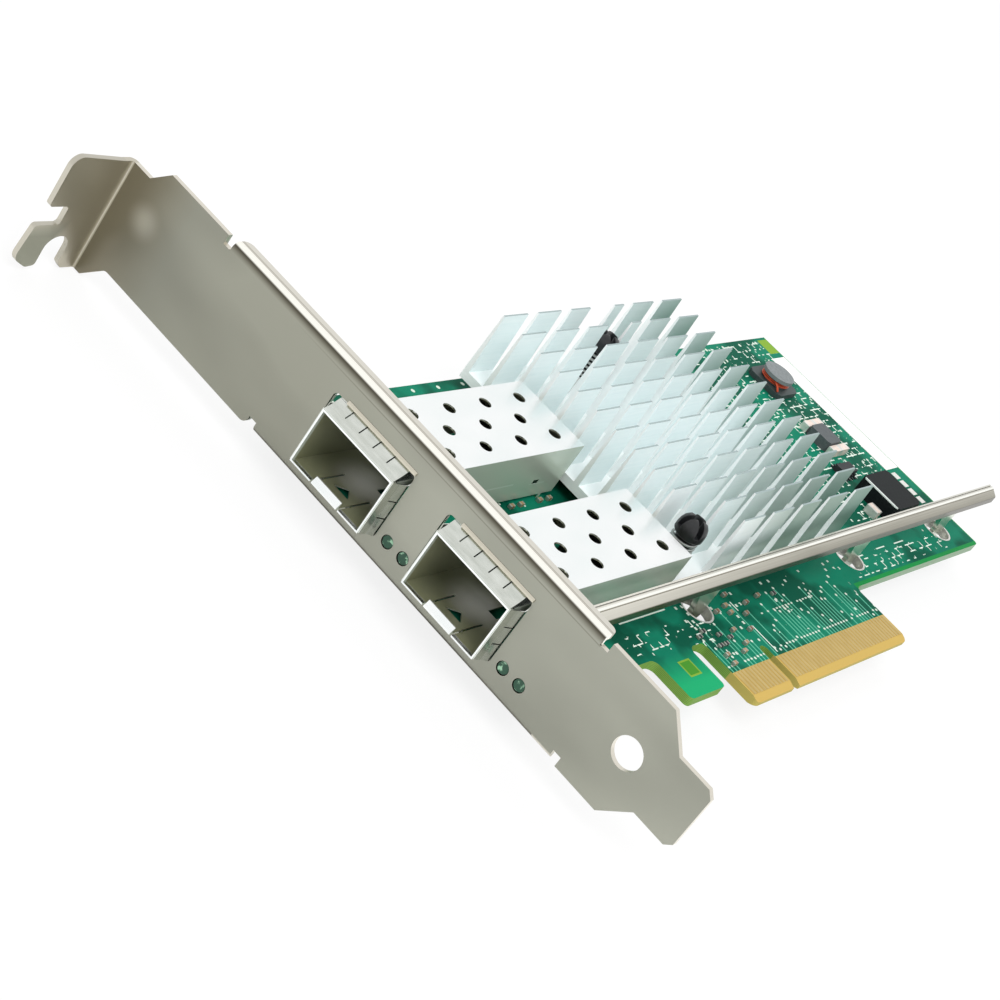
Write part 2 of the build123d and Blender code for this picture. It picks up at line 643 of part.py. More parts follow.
def bar_section():
    """Outline of the bar in Y and Z: a sheet folded to a flat, a sloping front and two skirts."""
    low = BAR_TOP - BAR_SKIRT - BAR_SLOPE
    edge = BAR_FAR - BAR_FLAT
    brow = BAR_TOP - BAR_SLOPE
    sheet = BAR_SHEET
    groove = BAR_FAR - GROOVE_EDGE
    bed = BAR_TOP - GROOVE_DEPTH
    outline = [
        (BAR_FAR, low), (BAR_FAR, BAR_TOP), (groove, BAR_TOP), (groove, bed), (groove - GROOVE_WIDTH, bed),
        (groove - GROOVE_WIDTH, BAR_TOP), (edge, BAR_TOP), (BAR_LOW, brow), (BAR_LOW, low),
        (BAR_LOW + sheet, low), (BAR_LOW + sheet, brow - sheet / 2), (BAR_FAR - sheet, BAR_TOP - sheet),
        (BAR_FAR - sheet, low),
    ]
    face = make_face(Polyline(*outline, close=True))
    return fillet(corners_near(face, [(edge, BAR_TOP), (BAR_LOW, brow)]), sheet / 2)


def make_bar():
    """The stiffener with its three legs in one folded sheet."""
    bar = Pos(SHEET, 0, 0) * extrude(Plane.YZ * bar_section(), BAR_END - SHEET)
    low = BAR_TOP - BAR_SKIRT - BAR_SLOPE
    tip = -BOARD_THICK - LEG_TIP
    half = LEG_TIP_WIDTH / 2
    for x in LEG_PLACES:
        outline = [(x - LEG_ROOT_WIDTH / 2, low), (x - half, 0.6), (x - half, tip + 0.8),
                   (x - half + 0.8, tip), (x + half - 0.8, tip), (x + half, tip + 0.8),
                   (x + half, low)]
        face = make_face(Polyline(*outline, close=True))
        plane = Plane(origin=(0, BAR_FAR, 0), x_dir=(1, 0, 0), z_dir=(0, -1, 0))
        bar += extrude(plane * face, BAR_SHEET)
    return bar


def make_choke_base():
    half = CHOKE_BASE / 2
    base = block(CHOKE_X - half, CHOKE_X + half, CHOKE_Y - half, CHOKE_Y + half, 0, CHOKE_BASE_HEIGHT)
    return chamfer(base.edges().filter_by(Axis.Z), CHOKE_BASE * 0.12)


def make_choke_core():
    """A ferrite drum: a slim post with a round flange at each end."""
    z0 = CHOKE_BASE_HEIGHT
    z1 = CHOKE_HEIGHT
    core = upright(CHOKE_X, CHOKE_Y, CHOKE_CORE_R, z1 - CHOKE_FLANGE, z1)
    core += upright(CHOKE_X, CHOKE_Y, CHOKE_CORE_R - CHOKE_WIRE, z0, z1)
    return core


def make_choke_winding():
    """The space of the copper winding round the drum, with its two ends led to the base."""
    z0 = CHOKE_BASE_HEIGHT
    z1 = CHOKE_HEIGHT - CHOKE_FLANGE
    outer = RegularPolygon(CHOKE_CORE_R - 0.1, 20)
    ring = Pos(CHOKE_X, CHOKE_Y, z0) * extrude(outer, z1 - z0)
    lead = CHOKE_WIRE * 0.8
    reach = CHOKE_BASE / 2 - 0.3
    for side in (-1, 1):
        ends = sorted((CHOKE_X + side * CHOKE_CORE_R * 0.5, CHOKE_X + side * reach))
        y = CHOKE_Y - side * (CHOKE_CORE_R - 0.6)
        ring += block(ends[0], ends[1], y - lead / 2, y + lead / 2, z0, z0 + lead)
    return ring - upright(CHOKE_X, CHOKE_Y, CHOKE_CORE_R - CHOKE_WIRE, z0 - 1, z1 + 1)


def make_power_block():
    """A moulded power inductor with a slight draft at its corners."""
    length = BLOCK_LENGTH / 2
    width = BLOCK_WIDTH / 2
    body = block(BLOCK_X - length, BLOCK_X + length, BLOCK_Y - width, BLOCK_Y + width, 0, BLOCK_HEIGHT)
    return chamfer(body.edges().filter_by(Axis.Z), 0.7)


def make_inductor():
    half = INDUCTOR_SIZE / 2
    body = block(INDUCTOR_X - half, INDUCTOR_X + half, INDUCTOR_Y - half, INDUCTOR_Y + half,
                 0, INDUCTOR_HEIGHT)
    return chamfer(body.edges().filter_by(Axis.Z), 0.5)


def make_chips(places, length, width, height):
    """Small parts of one size that lie along X, one at each place."""
    chips = []
    for x, y in places:
        chips.append(block(x - length / 2, x + length / 2, y - width / 2, y + width / 2, 0, height))
    return Compound(children=chips)


def make_clock_chip():
    """A small moulded package on flat leads along both long sides."""
    x0, x1 = CLOCK_X - CLOCK_LENGTH / 2, CLOCK_X + CLOCK_LENGTH / 2
    y0, y1 = CLOCK_Y - CLOCK_WIDTH / 2, CLOCK_Y + CLOCK_WIDTH / 2
    chip = block(x0, x1, y0, y1, 0.1, CLOCK_HEIGHT)
    for k in range(4):
        x = CLOCK_X + (k - 1.5) * CLOCK_LENGTH / 4.4
        chip += block(x - 0.2, x + 0.2, y0 - 0.9, y1 + 0.9, 0, 0.25)
        chip += block(x - 0.2, x + 0.2, y0 - 0.4, y1 + 0.4, 0, CLOCK_HEIGHT / 2)
    return chip


def header_ys():
    return [HEADER_Y + (k - 1.5) * HEADER_PITCH for k in range(4)]


def make_header_pads():
    """Four square tinned pads, for a header that is left out."""
    half = HEADER_PAD / 2
    return Compound(children=[block(HEADER_X - half, HEADER_X + half, y - half, y + half, 0, CONTACT_THICK)
                              for y in header_ys()])


def make_label():
    return block(LABEL_START, BOARD_END - LABEL_EDGE, LABEL_LOW, LABEL_LOW + LABEL_LENGTH, 0, LABEL_THICK)


board = make_board()
save(board, "circuit_board")
contacts = make_contacts()
save(contacts, "edge_contacts_front")
save(mirror(contacts, Plane.XY.offset(-BOARD_THICK / 2)), "edge_contacts_back")
save(make_bracket(), "slot_bracket")
for number, port_y in enumerate(PORTS, start=1):
    save(make_cage(port_y), f"port_{number}_cage")
    save(make_collar(port_y), f"port_{number}_spring_collar")
    save(make_connector(port_y), f"port_{number}_host_connector")
    save(make_light_body(port_y), f"port_{number}_light_holder")
save(make_lenses(), "link_light_lenses")
half_chip = CHIP_SIZE / 2
save(block(CHIP_X - half_chip, CHIP_X + half_chip, CHIP_Y - half_chip, CHIP_Y + half_chip, 0, CHIP_HEIGHT),
     "controller_chip")
half_pad = PAD_SIZE / 2
save(block(CHIP_X - half_pad, CHIP_X + half_pad, CHIP_Y - half_pad, CHIP_Y + half_pad,
           CHIP_HEIGHT, SINK_FOOT), "thermal_pad")
save(make_heatsink(), "heatsink")
for name, (push_x, push_y) in zip(("front", "rear"), PUSH_PLACES):
    save(make_push_pin(push_x, push_y), f"push_pin_{name}")
    save(make_spring(push_x, push_y), f"push_pin_spring_{name}")
save(make_bar(), "stiffener_bar")
save(make_choke_base(), "round_choke_base")
save(make_choke_core(), "round_choke_core")
save(make_choke_winding(), "round_choke_winding")
save(make_power_block(), "power_inductor")
save(make_inductor(), "square_inductor")
save(make_clock_chip(), "clock_chip")
beside = INDUCTOR_SIZE / 2 + BULK_WIDTH / 2 + 0.15
bulk = [(INDUCTOR_X + dx, INDUCTOR_Y + dy) for dx in (-0.8, 2.3) for dy in (-beside, beside)]
large = [(BLOCK_X - BLOCK_LENGTH / 2 - LARGE_LENGTH / 2 - 1.6, BLOCK_Y - 1.5)]
chips = [make_chips(bulk, BULK_LENGTH, BULK_WIDTH, BULK_HEIGHT)]
chips.append(make_chips(large, LARGE_LENGTH, LARGE_WIDTH, BULK_HEIGHT))
save(Compound(children=chips), "bulk_capacitors")
tan_places = [(60.7, 16.4), (60.5, 15.0), (57.4, 15.9), (64.0, 14.0), (66.5, 15.8), (57.2, 9.4), (55.0, 8.2),
              (57.1, 12.1), (50.2, 8.6), (50.0, 6.9), (63.0, 18.2), (61.4, 11.3), (71.0, 16.3)]
tan_places += [(x, PORTS[0] - CAGE_WIDTH / 2 - 0.9) for x in (33.8, 36.3, 41.3, 43.8)]
save(make_chips(tan_places, SMALL_LENGTH, SMALL_WIDTH, SMALL_WIDTH), "small_capacitors")
dark_places = [(53.0, 12.2), (55.0, 11.2), (50.9, 10.4), (52.6, 10.4), (49.9, 13.6), (48.0, 12.9), (75.8, 15.8)]
save(make_chips(dark_places, SMALL_LENGTH, SMALL_WIDTH, SMALL_WIDTH * 0.7), "small_resistors")
save(make_header_pads(), "header_pads")
save(make_label(), "blank_label")
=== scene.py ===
import math

import bpy
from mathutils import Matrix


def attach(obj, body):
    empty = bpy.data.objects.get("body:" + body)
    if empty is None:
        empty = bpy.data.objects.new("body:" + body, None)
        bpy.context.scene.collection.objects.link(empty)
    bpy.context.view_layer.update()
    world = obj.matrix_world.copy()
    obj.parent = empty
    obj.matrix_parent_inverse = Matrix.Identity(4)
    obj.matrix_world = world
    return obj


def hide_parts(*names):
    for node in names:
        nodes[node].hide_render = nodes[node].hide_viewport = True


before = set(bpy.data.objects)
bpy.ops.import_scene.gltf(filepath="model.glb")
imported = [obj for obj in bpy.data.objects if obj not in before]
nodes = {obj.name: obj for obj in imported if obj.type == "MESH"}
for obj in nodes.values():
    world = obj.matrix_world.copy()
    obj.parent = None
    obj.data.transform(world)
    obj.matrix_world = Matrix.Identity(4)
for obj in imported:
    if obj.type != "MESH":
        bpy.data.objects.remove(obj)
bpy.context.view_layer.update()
scene = bpy.context.scene


# Circuit board. Glass fibre laminate with copper inside, under a green solder mask. The mask looks
# dark over the copper planes and bright where only laminate lies behind it, as on the hook and
# along the milled edges. White legend marks and tinned pads crowd the free areas.
MM = 0.001


def linear(hex_colour):
    """sRGB hex to the linear colour that the shaders use."""
    channels = [int(hex_colour[k:k + 2], 16) / 255 for k in (1, 3, 5)]
    return [c / 12.92 if c <= 0.04045 else ((c + 0.055) / 1.055) ** 2.4 for c in channels] + [1.0]


def shader_of(material):
    """The material's own shader."""
    return material.node_tree.nodes["Principled BSDF"]


def new_material(name, base, values):
    """A material with its base colour and its shader's other values set."""
    material = bpy.data.materials.new(name)
    material.use_nodes = True
    for socket, value in {"Base Color": linear(base), **values}.items():
        shader_of(material).inputs[socket].default_value = value
    return material


def result_of(value):
    """A node's result, which a mix of colours gives third and other nodes first. Else the value."""
    if isinstance(value, bpy.types.Node):
        return value.outputs[2 if value.bl_idname == "ShaderNodeMix" else 0]
    return value


def add(material, kind, inputs=None, **settings):
    """Adds one node. An input is a value, a hex colour, or a node or output to link."""
    tree = material.node_tree
    node = tree.nodes.new(f"ShaderNode{kind}")
    for key, value in settings.items():
        setattr(node, key, value)
    for key, value in (inputs or {}).items():
        value = result_of(value)
        if isinstance(value, bpy.types.NodeSocket):
            tree.links.new(value, node.inputs[key])
        else:
            node.inputs[key].default_value = linear(value) if isinstance(value, str) else value
    return node


def wire_up(material, value, socket):
    """Links a finished colour, bump or value to the material's shader."""
    material.node_tree.links.new(result_of(value), shader_of(material).inputs[socket])


def measured(material):
    """A point's place in mm as one vector, the same along x, y and z, and the way its face looks."""
    where = add(material, "TexCoord")
    in_mm = add(material, "Mapping", {"Vector": where.outputs["Object"], "Scale": (1000, 1000, 1000)})
    spot = add(material, "SeparateXYZ", {"Vector": in_mm})
    facing = add(material, "SeparateXYZ", {"Vector": where.outputs["Normal"]})
    return in_mm, spot.outputs, facing.outputs


def all_of(material, mask, *others):
    """The product of masks: one only where each of them is."""
    for other in others:
        mask = add(material, "Math", {0: mask, 1: other}, operation="MULTIPLY")
    return mask


def any_of(material, mask, *others):
    """The greatest of masks: one where any of them is."""
    for other in others:
        mask = add(material, "Math", {0: mask, 1: other}, operation="MAXIMUM")
    return mask


def in_any(material, across, up, rectangles):
    """One inside any of the rectangles (left, right, bottom, top) in mm, and nought outside."""
    insides = []
    for left, right, bottom, top in rectangles:
        spans = [add(material, "Math", {0: way, 1: (low + high) / 2, 2: (high - low) / 2}, operation="COMPARE")
                 for way, low, high in ((across, left, right), (up, bottom, top))]
        insides.append(all_of(material, *spans))
    return any_of(material, *insides)


def in_disc(material, across, up, radius):
    """One within a radius of a centre, from the ways across and up to it in mm."""
    across2, up2 = (add(material, "Math", {0: way, 1: 2.0}, operation="POWER") for way in (across, up))
    away = add(material, "Math", {0: across2, 1: up2}, operation="ADD")
    return add(material, "Math", {0: away, 1: radius ** 2}, operation="LESS_THAN")


def coated(material, ground, *coats):
    """A ground colour under coats, each a mask and the colour that shows where the mask is one."""
    for mask, colour in coats:
        ground = add(material, "Mix", {0: mask, 6: ground, 7: colour}, data_type="RGBA")
    return ground


def mottle(material, per_mm, dark, light, detail=2.0, between=None):
    """A colour that wavers from dark to light with so many lumps to the millimetre, and its noise.

    The lumps are one number or three, for x, y and z. The tones part at the noise values between.
    """
    lumps = per_mm if isinstance(per_mm, tuple) else (per_mm, per_mm, per_mm)
    where = add(material, "TexCoord")
    spread = add(material, "Mapping", {"Vector": where.outputs["Object"], "Scale": [n / MM for n in lumps]})
    noise = add(material, "TexNoise", {"Vector": spread, "Scale": 1.0, "Detail": detail})
    mask = noise
    if between:
        mask = add(material, "MapRange", {"Value": noise, "From Min": between[0], "From Max": between[1]})
    return coated(material, dark, (mask, light)), noise


def dress(material, *node_names):
    """Puts a material on pieces of the frame."""
    for node_name in node_names:
        mesh = nodes[node_name].data
        mesh.materials.clear()
        mesh.materials.append(material)


solder_mask = new_material("solder mask on glass fibre laminate", "#0b6650",
                           {"Roughness": 0.5, "Specular IOR Level": 0.04})
in_mm, at, facing = measured(solder_mask)
# Copper planes and the gaps between them, 10 to 20 mm across
planes, _ = mottle(solder_mask, 0.09, "#07533f", "#10775c", 3.0, (0.45, 0.56))
# Traces, 0.26 mm wide, one to each contact at 1 mm, that run up to a via at a height of their own
CONTACT_PITCH = 1.0
TRACE_HALF, DASH_HALF, TRACE_VIA_R = 0.13, 0.26, 0.265
lane_part = add(solder_mask, "Math", {0: at["X"], 1: CONTACT_PITCH, 2: 0.0}, operation="WRAP")
lane_number = add(solder_mask, "Math", {0: at["X"]}, operation="FLOOR")
lane_chance = add(solder_mask, "TexWhiteNoise", {"W": lane_number}, noise_dimensions="1D")
lane_top = add(solder_mask, "MapRange", {"Value": lane_chance, "To Min": 6.0, "To Max": 17.0})
lane_side = add(solder_mask, "Math", {0: lane_part, 1: CONTACT_PITCH / 2}, operation="SUBTRACT")
lane_above = add(solder_mask, "Math", {0: at["Y"], 1: lane_top}, operation="SUBTRACT")
in_lane = add(solder_mask, "Math", {0: lane_side, 1: 0.0, 2: TRACE_HALF}, operation="COMPARE")
low_part = add(solder_mask, "Math", {0: lane_above, 1: 0.0}, operation="LESS_THAN")
lane_used = add(solder_mask, "Math", {0: lane_chance, 1: 0.3}, operation="GREATER_THAN")
trace_zone = in_any(solder_mask, at["X"], at["Y"], [(47.6, 100.6, 5.6, 19.0)])
trace = all_of(solder_mask, in_lane, low_part, trace_zone, lane_used)
end_via = all_of(solder_mask, in_disc(solder_mask, lane_side, lane_above, TRACE_VIA_R), trace_zone)
dash = add(solder_mask, "Math", {0: lane_side, 1: 0.0, 2: DASH_HALF}, operation="COMPARE")
dash_rows = in_any(solder_mask, at["X"], at["Y"], [
    (63.5, 100.5, 6.9, 7.25), (48.0, 61.5, 6.6, 6.95), (68.0, 86.0, 13.1, 13.4)])
dashes = all_of(solder_mask, dash, dash_rows, lane_used)
# Laminate with no copper behind it
bare_zone = in_any(solder_mask, at["X"], at["Y"], [
    (100.4, 153.0, 11.0, 12.8), (152.0, 153.0, 11.0, 69.0), (47.0, 48.0, 5.4, 12.0)])
hook_zone = in_any(solder_mask, at["X"], at["Y"], [(33.0, 44.6, 3.0, 12.2)])
hook_way = add(solder_mask, "MapRange", {"Value": at["Y"], "From Min": 11.8, "From Max": 6.5})
hook = all_of(solder_mask, hook_zone, hook_way)
# White legend: broken outlines round the small parts, on a 2.4 by 1.5 mm grid. The printed line is
# 0.15 mm wide on a real board and is drawn at 0.25 mm, as coarse as it needs to show.
legend_zone = in_any(solder_mask, at["X"], at["Y"], [
    (103.5, 151.0, 29.5, 68.0), (30.5, 45.0, 12.6, 16.6), (46.0, 52.5, 8.6, 16.2),
    (104.0, 141.0, 13.4, 16.9), (8.0, 46.0, 38.0, 40.6), (120.0, 127.6, 20.0, 30.0)])
outlines = add(solder_mask, "TexBrick", {"Vector": in_mm, "Scale": 1.0, "Mortar Size": 0.12,
                                         "Mortar Smooth": 0.1, "Brick Width": 2.4, "Row Height": 1.5})
broken = add(solder_mask, "TexNoise", {"Vector": in_mm, "Scale": 0.62, "Detail": 1.0})
kept = add(solder_mask, "Math", {0: broken, 1: 0.53}, operation="GREATER_THAN")
unprinted = in_any(solder_mask, at["X"], at["Y"], [(145.6, 151.5, 18.0, 35.0)])
printed = add(solder_mask, "Math", {0: 1.0, 1: unprinted}, operation="SUBTRACT")
lines = in_any(solder_mask, at["X"], at["Y"], [
    (33.5, 46.5, 19.0, 19.25), (63.2, 63.45, 15.0, 16.9), (63.1, 63.35, 6.3, 11.8),
    (109.3, 111.6, 17.2, 17.45), (117.5, 120.8, 17.5, 17.75), (124.7, 128.5, 17.4, 17.65)])
marks = all_of(solder_mask, outlines.outputs["Fac"], kept, legend_zone, printed)
legend = any_of(solder_mask, marks, lines)
# Tinned pads of 0.7 mm and vias of 0.5 mm, in clusters
pads = add(solder_mask, "TexVoronoi", {"Vector": in_mm, "Scale": 0.72, "Randomness": 0.8},
           distance="CHEBYCHEV")
square = add(solder_mask, "Math", {0: pads, 1: 0.2}, operation="LESS_THAN")
pad_noise = add(solder_mask, "TexNoise", {"Vector": in_mm, "Scale": 0.3, "W": 2.0}, noise_dimensions="4D")
pad_some = add(solder_mask, "Math", {0: pad_noise, 1: 0.5}, operation="GREATER_THAN")
pad_zone = in_any(solder_mask, at["X"], at["Y"], [
    (103.5, 151.0, 24.0, 68.0), (48.0, 78.0, 8.0, 19.0), (6.0, 46.0, 37.0, 41.0), (78.0, 101.0, 7.5, 18.5)])
pad = all_of(solder_mask, square, pad_some, pad_zone, printed)
vias = add(solder_mask, "TexVoronoi", {"Vector": in_mm, "Scale": 0.55, "Randomness": 0.8})
dot = add(solder_mask, "Math", {0: vias, 1: 0.14}, operation="LESS_THAN")
via_noise = add(solder_mask, "TexNoise", {"Vector": in_mm, "Scale": 0.11, "W": 3.0}, noise_dimensions="4D")
via_some = add(solder_mask, "Math", {0: via_noise, 1: 0.54}, operation="GREATER_THAN")
inland = add(solder_mask, "Math", {0: at["Y"], 1: 13.6}, operation="GREATER_THAN")
via = all_of(solder_mask, dot, via_some, inland)
# One row of vias along the top edge
ROW_PITCH, ROW_START, ROW_Y, ROW_VIA_R = 6.5, 4.3, 67.65, 0.374
row_part = add(solder_mask, "Math", {0: at["X"], 1: ROW_PITCH, 2: 0.0}, operation="WRAP")
row_across = add(solder_mask, "Math", {0: row_part, 1: ROW_START}, operation="SUBTRACT")
row_above = add(solder_mask, "Math", {0: at["Y"], 1: ROW_Y}, operation="SUBTRACT")
row = in_disc(solder_mask, row_across, row_above, ROW_VIA_R)
tinned = any_of(solder_mask, pad, via, row, end_via, dashes)
# Small windows in the mask by the hook and the far corner, and bare laminate between the contacts
window_zone = in_any(solder_mask, at["X"], at["Y"], [(38.2, 41.4, 7.4, 10.4), (148.6, 152.2, 64.4, 68.2)])
glass_zone = in_any(solder_mask, at["X"], at["Y"], [(38.5, 41.1, 7.7, 10.1)])
finger_zone = in_any(solder_mask, at["X"], at["Y"], [(47.0, 101.2, -0.2, 5.7)])
face = coated(solder_mask, planes, (trace, "#5fb598"), (hook, "#1c9f68"), (bare_zone, "#1d8844"),
              (legend, "#e3efe4"), (tinned, "#cfdccf"), (window_zone, "#7ea338"), (glass_zone, "#458a2c"),
              (finger_zone, "#c0a35a"))
# On the milled edges the laminate shows in layers, golden by the contacts and pale beyond them
upright = add(solder_mask, "Math", {0: facing["Z"]}, operation="ABSOLUTE")
on_edge = add(solder_mask, "Math", {0: upright, 1: 0.5}, operation="LESS_THAN")
layers = add(solder_mask, "TexWave", {"Vector": in_mm, "Scale": 1.3, "Distortion": 0.6}, bands_direction="Z")
by_contacts = in_any(solder_mask, at["X"], at["Y"], [(46.0, 102.0, -0.3, 6.0)])
beyond = add(solder_mask, "Math", {0: at["X"], 1: 102.0}, operation="GREATER_THAN")
laminate = coated(solder_mask, "#5d8a3c", (layers.outputs["Fac"], "#86a653"), (by_contacts, "#b2a45a"),
                  (beyond, "#92a990"))
wire_up(solder_mask, coated(solder_mask, face, (on_edge, laminate)), "Base Color")
raised = add(solder_mask, "Math", {0: trace, 1: tinned}, operation="ADD")
relief = add(solder_mask, "Bump", {"Height": raised, "Strength": 0.25, "Distance": 0.04 * MM})
wire_up(solder_mask, relief, "Normal")
dress(solder_mask, "circuit_board")


# Edge contacts. Hard gold over nickel on copper, plated flat, so they look smooth and a little
# pale, with faint upright rubbing where a socket's springs would wipe.
def mottled(name, base, values, per_mm, dark, light, detail=2.0, between=None, bump=None):
    """A material mottled all over. Its bump, from the same noise, is a strength and a depth in mm."""
    material = new_material(name, base, values)
    tone, noise = mottle(material, per_mm, dark, light, detail, between)
    wire_up(material, tone, "Base Color")
    if bump:
        strength, depth = bump
        relief = add(material, "Bump", {"Height": noise, "Strength": strength, "Distance": depth * MM})
        wire_up(material, relief, "Normal")
    return material


gold = mottled("hard gold plating", "#cbb26c", {"Metallic": 1.0, "Roughness": 0.34},
               (0.9, 0.26, 0.9), "#bb9f58", "#d9c284", 4.0)
dress(gold, "edge_contacts_front", "edge_contacts_back")


# Plated sleeves of the stiffener's three holes. Copper plated through the board and tinned, with a
# ring of solder on both faces, so the inside of each hole shines silver.
tin = mottled("bright tin", "#e2e1db", {"Metallic": 0.6, "Roughness": 0.35},
              1.8, "#cfcec7", "#f2f1ed", bump=(0.2, 0.06))

BOARD_UNDER = -1.57
SLEEVE_R, RING_R = 2.73, 3.05
RING_PROUD, PLATING = 0.04, 0.03
SLEEVE_PLACES = [(54.0, 17.6), (106.85, 17.6), (143.4, 17.6)]


def select_only(*pieces):
    """Leaves edit mode and selects these pieces alone, or none, with the first of them active."""
    if bpy.context.object and bpy.context.object.mode != "OBJECT":
        bpy.ops.object.mode_set(mode="OBJECT")
    bpy.ops.object.select_all(action="DESELECT")
    for piece in pieces:
        piece.select_set(True)
    if pieces:
        bpy.context.view_layer.objects.active = pieces[0]


def draw_up(vertices, steps):
    """Draws a round solid up from a disc, through the radii and heights of the steps in mm."""
    select_only()
    radius, height = steps[0]
    bpy.ops.mesh.primitive_circle_add(vertices=vertices, radius=radius * MM, fill_type="NGON",
                                      location=(0, 0, height * MM))
    bpy.ops.object.transform_apply(location=True)
    bpy.ops.object.mode_set(mode="EDIT")
    bpy.ops.mesh.select_all(action="SELECT")
    for next_radius, next_height in steps[1:]:
        rise = (0, 0, (next_height - height) * MM)
        bpy.ops.mesh.extrude_region_move(TRANSFORM_OT_translate={"value": rise})
        scale = next_radius / radius
        bpy.ops.transform.resize(value=(scale, scale, 1), center_override=(0, 0, next_height * MM))
        radius, height = next_radius, next_height
    bpy.ops.mesh.select_all(action="SELECT")
    bpy.ops.mesh.normals_make_consistent(inside=False)
    bpy.ops.object.mode_set(mode="OBJECT")
    return bpy.context.object


def use_modifier(piece, kind, **settings):
    """Adds one modifier and applies it."""
    bpy.context.view_layer.objects.active = piece
    modifier = piece.modifiers.new(kind.lower(), kind)
    for key, value in settings.items():
        setattr(modifier, key, value)
    bpy.ops.object.modifier_apply(modifier=modifier.name)


def place(piece, x, y):
    """Moves a piece by millimetres and keeps the place in its mesh."""
    select_only(piece)
    piece.location = (x * MM, y * MM, 0)
    bpy.ops.object.transform_apply(location=True, rotation=True, scale=True)


def copy_of(piece, x, y):
    """A copy with its own mesh, moved by millimetres."""
    twin = piece.copy()
    twin.data = piece.data.copy()
    scene.collection.objects.link(twin)
    place(twin, x, y)
    return twin


def join(pieces):
    """Joins like pieces into the first."""
    select_only(*pieces)
    bpy.ops.object.join()
    return pieces[0]


def join_copies(piece, places):
    """Joins a copy of a piece at each place, and drops the piece itself."""
    joined = join([copy_of(piece, x, y) for x, y in places])
    bpy.data.objects.remove(piece)
    return joined


def finish_piece(piece, name, material, slot, *stands_for, smooth=35):
    """Names, shades and dresses a piece, hangs it on the root body and hides the parts it stands for."""
    select_only(piece)
    bpy.ops.object.shade_smooth_by_angle(angle=math.radians(smooth))
    piece.name = name
    piece.data.materials.clear()
    piece.data.materials.append(material)
    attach(piece, "root")
    if stands_for:
        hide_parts(*stands_for)


select_only()
bpy.ops.mesh.primitive_cylinder_add(vertices=48, radius=SLEEVE_R * MM, end_fill_type="NOTHING",
                                    depth=(2 * RING_PROUD - BOARD_UNDER) * MM,
                                    location=(0, 0, BOARD_UNDER / 2 * MM))
sleeve = bpy.context.object
bpy.ops.object.transform_apply(location=True)
for level in (RING_PROUD, BOARD_UNDER - RING_PROUD):
    bpy.ops.object.mode_set(mode="EDIT")
    bpy.ops.mesh.select_all(action="DESELECT")
    bpy.ops.object.mode_set(mode="OBJECT")
    for vertex in sleeve.data.vertices:
        vertex.select = abs(vertex.co.z - level * MM) < 0.01 * MM
    bpy.ops.object.mode_set(mode="EDIT")
    bpy.ops.mesh.select_mode(type="VERT")
    bpy.ops.mesh.extrude_region_move()
    widen = RING_R / SLEEVE_R
    bpy.ops.transform.resize(value=(widen, widen, 1), center_override=(0, 0, level * MM))
bpy.ops.mesh.select_all(action="SELECT")
bpy.ops.mesh.normals_make_consistent(inside=True)
bpy.ops.object.mode_set(mode="OBJECT")
use_modifier(sleeve, "SOLIDIFY", thickness=PLATING * MM, offset=0.0)
finish_piece(join_copies(sleeve, SLEEVE_PLACES), "leg_hole_sleeves", tin, "plated_silver")


# Solder of the cages' tails. Each tail is soldered under the board with a small shiny cone, made
# by a wave of molten tin. The header's four pads are tinned with them.
PORT_YS = (50.85, 27.55)
TAIL_OUT = 6.975
FIRST_TAIL, LAST_TAIL = 5.6, 42.0
TAIL_XS = [FIRST_TAIL + (LAST_TAIL - FIRST_TAIL) * k / 3 for k in range(4)]
TAIL_YS = [port + side * TAIL_OUT for port in PORT_YS for side in (-1, 1)]
CONE_STEPS = [(0.3, -2.2), (0.42, -1.95), (0.62, -1.72), (0.85, -1.575)]
cone = draw_up(14, CONE_STEPS)
cones = join_copies(cone, [(x, y) for x in TAIL_XS for y in TAIL_YS])
finish_piece(cones, "cage_tail_solder", tin, "plated_silver", smooth=80)
dress(tin, "header_pads")


# Slot bracket. Mild steel sheet, sheared, punched and folded, then plated with nickel. The plating
# is a warm satin grey with soft clouds. Painted shade darkens the upper face, the face by the tab and the
# folds, and painted highlights brighten the sheared rims.
bracket_plate = new_material("satin nickel on steel sheet", "#aeada2", {"Metallic": 1.0, "Roughness": 0.38})
in_mm, at, facing = measured(bracket_plate)
face, _ = mottle(bracket_plate, (0.035, 0.022, 0.06), "#94958a", "#a5a69a", between=(0.38, 0.62))
# Painted shade: the upper face a little darker, and the face by the tab darker and browner, with a soft
# painted highlight on the front near the tab
aloft = add(bracket_plate, "MapRange", {"Value": at["Y"], "From Min": 35.0, "From Max": 62.0})
face = add(bracket_plate, "Mix", {0: aloft, 6: face, 7: "#edecea"}, data_type="RGBA", blend_type="MULTIPLY")
near_tab = add(bracket_plate, "MapRange", {"Value": at["Y"], "From Min": 92.0, "From Max": 102.0,
                                           "To Max": 0.7})
highlight_way = add(bracket_plate, "VectorMath", {0: in_mm, 1: (0.0, 98.5, 7.6)}, operation="DISTANCE")
painted_highlight = add(bracket_plate, "MapRange", {"Value": highlight_way.outputs["Value"], "From Min": 3.6, "From Max": 0.0,
                                        "To Max": 0.45}, interpolation_type="SMOOTHSTEP")
on_front = add(bracket_plate, "Math", {0: at["X"], 1: 0.4}, operation="LESS_THAN")
